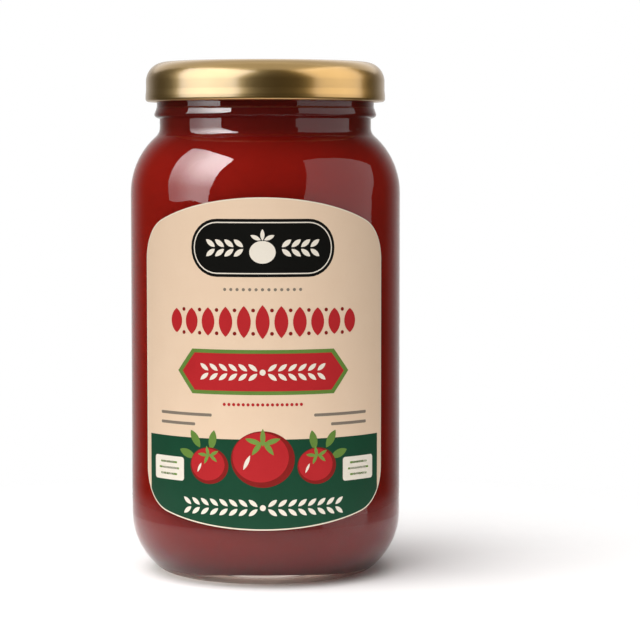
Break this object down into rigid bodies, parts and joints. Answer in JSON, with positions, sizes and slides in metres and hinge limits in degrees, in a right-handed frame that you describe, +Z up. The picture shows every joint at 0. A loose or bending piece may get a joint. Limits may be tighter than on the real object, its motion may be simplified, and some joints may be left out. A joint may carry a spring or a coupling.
{
  "type": "tomato paste jar",
  "caption": "Round glass jar filled with tomato paste, closed by a twist-off metal lid and wrapped at the front by a paper label.",
  "frame": {"origin": "centre of the foot, on the surface that the jar stands on", "axes": "+Z up along the jar's axis; the label's middle faces -Y; +X is to the right of the label"},
  "size_m": [0.075, 0.0751, 0.1417],
  "materials": {
    "jar_glass": "clear smooth glass",
    "tomato_paste": "wet smooth tomato paste",
    "lid_metal": "gold lacquered tinplate",
    "label_paper": "printed coated paper"
  },
  "bodies": {
    "root": {"jar": "jar_glass", "paste": "tomato_paste", "lid": "lid_metal", "label": "label_paper"}
  },
  "joints": []
}
